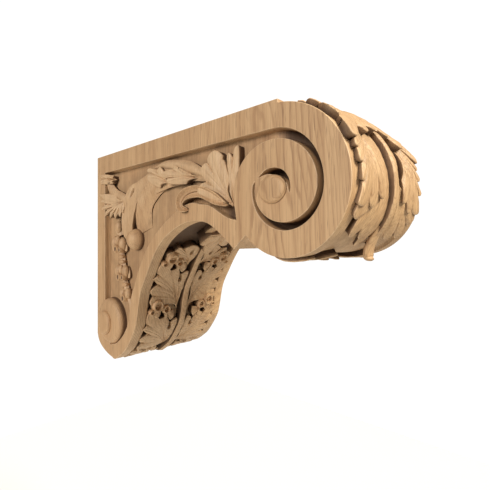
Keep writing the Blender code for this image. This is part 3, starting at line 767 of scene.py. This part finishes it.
curveLeaf = {
    "starts": [145.2, 208.5, 271.8], "stretch": [1, 1, 0.8], "root": (8, 66), "stem": (0.18, -1),
    "outline": [(6, 34), (9, 14), (16, 25.5), (26, 10), (33.5, 14), (45.5, -1), (47.5, 17), (52, 22),
        (41.5, 32), (50, 37), (45, 45.5), (48.5, 51), (40, 60)],
    "high": 8.6, "lobeHigh": 9.2, "pitAt": (15.5, 23.5), "pit": (4.6, 2.4, 90, 9),
    "knots": [(38.5, -5.5, 7.8, 1), (26.5, -0.5, 5.8, 0.95), (46, 1, 3.8, 0.8)],
    "knotCup": [(0, 10.2), (0.12, 10), (0.2, 8.4), (0.24, 5), (0.42, 4.6), (0.5, 9.4), (0.6, 11.6),
        (0.72, 12), (0.86, 11.2), (0.97, 9), (1, 7), (0.9, 1), (0.88, -1)],
    "lobes": [((28, -1), (-0.5, 1), [(27, 4), (25.5, 10.5), (22.5, 7.5), (17.5, 13.5), (15.5, 3)]),
        ((34, -5), (0.6, 0.8), [(42, -1), (47, 3.5), (41, 4), (38, 8), (33, 3)])],
}
apexLeaf = {
    "spread": ((8, 154), (0.3, -1), [(36, 146), (46.5, 134), (37, 132), (35.5, 125), (27, 129), (20, 121),
        (4, 130)], 8.6, [((14.5, 131), 4.6, 2.3, 90, 9)]),
    "soffit": ([(8, 3), (12, 30), (13, 62), (11, 90), (8, 108)], [3, 12, 11, 9, 4],
        [6.5, 8.5, 9, 10, 10.5]),
    "curl": ((0, 62), (0, 1), [(-15, 92), (-18, 109), (-9, 106), (-1, 126), (8, 107), (18, 110),
        (15, 92)], 15),
}
ribs = {
    "nose": ([(0, 44), (0, 80), (0, 110), (0, 138)], [3, 3.2, 2.8, 1.2], [8.6, 9, 8.4, 6.4]),
    "curve": ([(0, 118), (0, 180), (0, 250), (0, 324)], [3, 3.2, 3.2, 3.2], [10.5, 10.5, 10.5, 10.5]),
    "capRidge": ([(0, 1), (0, 22), (0, 40), (0, 50)], [5.5, 7, 5.5, 1.2], [8.2, 10.4, 11.2, 10.6]),
    "tongue": ([(0, 126, 3), (0, 136, 4.6), (0, 142.5, 7), (0, 146.5, 10.5), (0, 148.4, 14),
        (0, 147.2, 17)], [3, 6, 7.2, 7.8, 6.8, 3.4], [1.5, 2.6, 2.8, 2.6, 2.4, 1.2]),
}


def makeNoseLeaves(side, material, name):
    # overlapping fans that flow down from the top of the volute, and one under its belly
    host = frontHost(voluteFront(), block["voluteSunk"], side)
    carving = Carving(name)
    spine, halves, heights = noseBody
    carving.relief(host, band(spine, halves, halves, heights, 0.12))
    for root, stem, outline, high, low, fall, lift, flute in noseFans.values():
        grid = fan(root, stem, outline, high, low=low, flute=flute, fall=fall, lift=lift)
        carving.relief(host, grid, under=1.1)
    carving.finish(material)


def moved(marks, start, stretch):
    # marks of one leaf brought to its start down the line, and stretched along it
    return [(across, start + down * stretch) for across, down in marks]


def makeCurveLeaves(side, material, name):
    # three lobed leaves that climb the S-shaped front, each under a knot of buds, then the leaf
    # that spreads in the arch and the one on its soffit; a shorter leaf is lower too
    host = frontHost(curveFrontLine(), block["curveSunk"], side)
    carving = Carving(name)
    leaf = curveLeaf
    for start, stretch in zip(leaf["starts"], leaf["stretch"]):
        lower = stretch**0.7
        root, pitAt, *outline = moved([leaf["root"], leaf["pitAt"], *leaf["outline"]], start, stretch)
        grid = fan(root, leaf["stem"], outline, leaf["high"] * lower, low=0.55, flute=1.8, cutFrom=0.92,
                   pits=[(pitAt, *leaf["pit"])], split=14, rows=46)
        carving.relief(host, grid, under=1.2)
        for at, stem, marks in leaf["lobes"]:
            root, *outline = moved([at, *marks], start, stretch)
            grid = fan(root, stem, outline, leaf["lobeHigh"] * lower, low=0.7, flute=1.7, split=7, rows=20)
            carving.relief(host, grid)
        for across, down, radius, squash in leaf["knots"]:
            at = (across, start + down * stretch)
            # painted shade in each knot's sunk ring and on its low parts
            carving.turned(host, at, sized(leaf["knotCup"], radius, stretch**1.5), squash, shadedBelow=(0.45, 0.9))
    root, stem, outline, high, pits = apexLeaf["spread"]
    grid = fan(root, stem, outline, high, low=0.5, flute=1.6, point=0.4, pits=pits, split=14, rows=46)
    carving.relief(host, grid)
    spine, halves, heights = apexLeaf["soffit"]
    grid = band(spine, halves, halves, heights, 0.25, 1.2, rows=70, across=18, teeth=4, bite=0.3)
    carving.relief(host, grid)
    carving.finish(material)


def makeRibs(material):
    # flat-topped bands down the middle of both fronts, the curled tongue and the arch's curled leaf
    nose = frontHost(voluteFront(), block["voluteSunk"], 1)
    curve = frontHost(curveFrontLine(), block["curveSunk"], 1)
    carving = Carving("ribs_and_tongue")
    for host, which in ((nose, "nose"), (curve, "curve"), (nose, "capRidge")):
        spine, halves, heights = ribs[which]
        grid = band(spine, halves, halves, heights, 0.08, rows=90, across=12)
        carving.relief(host, grid, rim=0.8, under=0.0)
    carving.finger(nose, *ribs["tongue"])
    root, stem, outline, high = apexLeaf["curl"]
    carving.relief(curve, fan(root, stem, outline, high, low=0.1, swell=1.4), rim=1.4, under=1.5)
    carving.finish(material)


# Oak

class Value:
    # a shader socket that can be used in plain sums and products
    def __init__(self, tree, socket):
        self.tree, self.socket = tree, socket

    def maths(self, operation, *others, swapped=False):
        # a Math node on this value and the others, the other way round if swapped
        node = self.tree.nodes.new("ShaderNodeMath")
        node.operation = operation
        operands = [self, *others]
        if swapped:
            operands.reverse()
        for slot, operand in zip(node.inputs, operands):
            plug(self.tree, operand, slot)
        return Value(self.tree, node.outputs[0])

    def __add__(self, other):
        return self.maths("ADD", other)

    __radd__ = __add__

    def __mul__(self, other):
        return self.maths("MULTIPLY", other)

    __rmul__ = __mul__

    def __sub__(self, other):
        return self.maths("SUBTRACT", other)

    def __rsub__(self, other):
        return self.maths("SUBTRACT", other, swapped=True)

    def __pow__(self, other):
        return self.maths("POWER", other)


def plug(tree, value, slot):
    # a link where the value is a socket's, else the plain value
    if isinstance(value, Value):
        tree.links.new(value.socket, slot)
    else:
        slot.default_value = value


class Nodes:
    # the node tree of a material or a world, with one method that adds any node
    def __init__(self, owner, shader="Principled BSDF"):
        owner.use_nodes = True
        self.owner, self.tree = owner, owner.node_tree
        self.shader = self.tree.nodes[shader]

    def node(self, kind, settings=None, output=0, **sockets):
        # its settings come first, then a value or a link for each socket named
        made = self.tree.nodes.new("ShaderNode" + kind)
        for key, value in (settings or {}).items():
            if key == "stops":
                ramp = made.color_ramp
                while len(ramp.elements) < len(value):
                    ramp.elements.new(0.5)
                for element, (at, shade) in zip(ramp.elements, value):
                    element.position = at
                    element.color = shade
            else:
                setattr(made, key, value)
        for key, value in sockets.items():
            plug(self.tree, value, made.inputs[key.replace("_", " ")])
        return Value(self.tree, made.outputs[output])

    def feed(self, name, value):
        plug(self.tree, value, self.shader.inputs[name])


def colour(red, green, blue):
    return red, green, blue, 1.0


# Noises: scale, detail, how drawn out up and down they are, and roughness. Spans: a value's low
# and high end, and what they become.
oakLook = {
    "pithAcross": 0.030, "pithOut": 0.279, "ringWidth": 0.0017, "wander": 0.0042, "slowWander": 0.012,
    "taper": 0.02,
    "ringTones": [(0.0, 0.9), (0.10, 1.0), (0.2, 0.35), (0.55, 0.05), (0.9, 0.0), (0.97, 0.7), (1.0, 0.9)],
    "slow": (9.0, 2.0, 0.45), "quick": (55.0, 3.0, 0.16), "fibre": (900.0, 4.0, 0.022, 0.6),
    "streak": (120.0, 3.0, 0.022, 0.55), "line": (330.0, 2.0, 0.035), "dash": (1300.0, 1.0, 0.05),
    "patch": (14.0, 2.0), "shadeNoise": (60.0, 3.0),
    "lineSpan": (0.56, 0.70), "poreSpan": (0.64, 0.72), "ringSpan": (0.5, 1.0, 0.25, 1.0),
    "streakSpan": (0.3, 0.68), "fibreSpan": (0.45, 0.8, 0.0, 0.55), "paintedShadeSpan": (0.35, 0.88, 0.0, 0.96),
    "wearAndSheenSpan": (-0.05, -0.4, 0.0, 0.5), "roughSpan": (0.3, 0.9, 0.5, 0.78),
    "pale": (0.620, 0.390, 0.203), "mid": (0.510, 0.302, 0.150), "ringDark": (0.370, 0.200, 0.095),
    # the last two colours: painted shade, and the paler tone of painted highlight and edge wear
    "pore": (0.230, 0.125, 0.060), "crevice": (0.075, 0.036, 0.016), "worn": (0.760, 0.545, 0.335),
    "bumpStrength": 0.55, "fibreBump": 0.00012,
}


def noise(nodes, where, scale, detail, drawn=None, roughness=0.5):
    # soft noise, drawn out along the upright axis where a share is given
    if drawn is not None:
        where = nodes.node("Mapping", Vector=where, Scale=(1.0, 1.0, drawn))
    return nodes.node("TexNoise", Vector=where, Scale=scale, Detail=detail, Roughness=roughness)


def spanned(nodes, value, low, high, start=0.0, end=1.0):
    # start where the value is low, end where it is high, and a straight line between
    return nodes.node("MapRange", Value=value, From_Min=low, From_Max=high, To_Min=start, To_Max=end)


def laidOver(nodes, tone, cover, share):
    # a colour of the look laid over a tone by a share
    cover = colour(*oakLook[cover])
    return nodes.node("Mix", {"data_type": "RGBA"}, output=2, Factor=share, A=tone, B=cover)


def makeOak():
    # growth rings about an upright pith give arches on the flat-sawn sides; fibres, pores and streaks run up
    # and down; the painted light attribute paints shade into the carved recesses and a paler tone on edges,
    # ridges and raised tops, a painted highlight with wear on the edges
    oak = Nodes(bpy.data.materials.new("carved_oak"))
    look = oakLook
    where = oak.node("TexCoord", output=3)
    x, y, z = (oak.node("SeparateXYZ", output=k, Vector=where) for k in range(3))
    slow, quick = noise(oak, where, *look["slow"]), noise(oak, where, *look["quick"])
    aside, ahead = x - look["pithAcross"], y + look["pithOut"]
    radius = (aside * aside + ahead * ahead)**0.5
    radius = radius + (slow - 0.5) * (2 * look["slowWander"]) + (quick - 0.5) * look["wander"]
    radius = radius + z * look["taper"]
    ring = (radius * (1 / look["ringWidth"])).maths("FRACT")
    stops = [(at, colour(grey, grey, grey)) for at, grey in look["ringTones"]]
    early = oak.node("ValToRGB", {"stops": stops}, Fac=ring)
    fibre, streak = noise(oak, where, *look["fibre"]), noise(oak, where, *look["streak"])
    lines = spanned(oak, noise(oak, where, *look["line"]), *look["lineSpan"])
    pores = spanned(oak, noise(oak, where, *look["dash"]) + early * 0.06, *look["poreSpan"])
    ringShow = spanned(oak, noise(oak, where, *look["patch"]) + streak * 0.5, *look["ringSpan"])
    tone = laidOver(oak, colour(*look["pale"]), "mid", spanned(oak, streak, *look["streakSpan"]))
    tone = laidOver(oak, tone, "ringDark", early * ringShow)
    tone = laidOver(oak, tone, "ringDark", spanned(oak, fibre, *look["fibreSpan"]))
    tone = laidOver(oak, tone, "ringDark", lines * 0.55)
    tone = laidOver(oak, tone, "pore", pores * 0.5)
    hollow = oak.node("Attribute", {"attribute_name": "hollow"}, output=2)
    # noise that breaks up the painted shade and the paler tone
    shadeNoise = noise(oak, where, *look["shadeNoise"])
    # painted shade: the shade colour laid over the recesses, walls and low places by the attribute
    deep = spanned(oak, hollow + (shadeNoise - 0.5) * 0.35, *look["paintedShadeSpan"])
    # a paler tone on edges, ridges and raised tops: painted highlight, with wear on the block's edges
    worn = spanned(oak, hollow + (shadeNoise - 0.5) * 0.3, *look["wearAndSheenSpan"])
    tone = laidOver(oak, laidOver(oak, tone, "worn", worn), "crevice", deep)
    oak.feed("Base Color", tone)
    oak.feed("Roughness", spanned(oak, fibre + deep * 0.4, *look["roughSpan"]))
    relief = fibre * 0.6 - pores * 0.8 - early * 0.25
    bump = oak.node("Bump", Strength=look["bumpStrength"], Distance=look["fibreBump"], Height=relief)
    oak.feed("Normal", bump)
    print("oak", len(oak.tree.nodes), "nodes")
    return oak.owner


# Studio

floorLook = {"size": 2.4, "drop": 0.75, "grey": 0.76, "roughness": 0.8}


def makeStage():
    # one square far below the bracket
    mesh = bpy.data.meshes.new("pale_floor")
    corners = np.array([[-1, -1], [1, -1], [1, 1], [-1, 1]]) * floorLook["size"] / 2
    spots = np.column_stack([corners, np.full(4, -floorLook["drop"])])
    mesh.from_pydata(spots.tolist(), [], [(0, 1, 2, 3)])
    floor = inScene("pale_floor", mesh)
    paint = Nodes(bpy.data.materials.new("pale_floor"))
    paint.feed("Base Color", colour(*[floorLook["grey"]] * 3))
    paint.feed("Roughness", floorLook["roughness"])
    mesh.materials.append(paint.owner)
    print("pale floor")


studio = {
    "keyFrom": (0.24, -1.0, 0.92), "keyPower": 5.4, "keyTint": (1.0, 0.985, 0.85),
    "fillFrom": (-1.0, -0.12, 0.30), "fillPower": 2.32, "fillTint": (1.0, 0.99, 0.97),
    "softness": 0.5, "ambient": 0.14, "backdrop": 1.05,
}


def addSun(name, spot, power, tint):
    # a broad sun that shines from the spot towards the bracket
    lamp = bpy.data.lights.new(name, "SUN")
    lamp.angle = studio["softness"]
    lamp.energy = power
    lamp.color = tint
    light = inScene(name, lamp)
    light.location = spot
    light.rotation_euler = (-Vector(spot)).to_track_quat("-Z", "Y").to_euler()


def makeStudio():
    # two broad suns; the world is white to the camera and dimmer as light
    addSun("key_light", studio["keyFrom"], studio["keyPower"], studio["keyTint"])
    addSun("side_fill", studio["fillFrom"], studio["fillPower"], studio["fillTint"])
    world = Nodes(bpy.data.worlds.new("studio"), "Background")
    toCamera = world.node("LightPath")
    world.feed("Strength", spanned(world, toCamera, 0.0, 1.0, studio["ambient"], studio["backdrop"]))
    world.feed("Color", colour(1.0, 1.0, 1.0))
    bpy.context.scene.world = world.owner
    bpy.context.scene.view_settings.view_transform = "Standard"
    print("studio light")


# The photograph's eye: its place in metres and its turn in degrees come from the side's straight edges
photoEye = {
    "across": -0.2847, "out": 0.46121, "turn": 47.26, "lens": 27.32, "sensor": 36.0, "shift": -0.0037,
    "nearest": 0.01,
}


def makeCamera():
    # level with the drawing's level line, turned about the upright axis
    camera = bpy.data.cameras.new("camera")
    camera.lens = photoEye["lens"]
    camera.sensor_width = photoEye["sensor"]
    camera.shift_y = photoEye["shift"]
    camera.clip_start = photoEye["nearest"]
    seat = inScene("camera", camera)
    seat.location = (photoEye["across"], -photoEye["out"], -levelDrop * mm)
    seat.rotation_euler = (math.pi / 2, 0.0, -math.radians(photoEye["turn"]))
    bpy.context.scene.camera = seat
    print("camera")


makeCamera()
oakFinish = makeOak()
makeBlock(oakFinish)
for side, which in ((-1, "near"), (1, "far")):
    makeSideLeaves(side, oakFinish, "side_leaves_" + which)
    makeSmallScroll(side, oakFinish, "small_scroll_" + which)
    makeNoseLeaves(side, oakFinish, "nose_leaves_" + which)
    makeCurveLeaves(side, oakFinish, "front_leaves_" + which)
makeRibs(oakFinish)
makeEyes(oakFinish)
makeStage()
makeStudio()
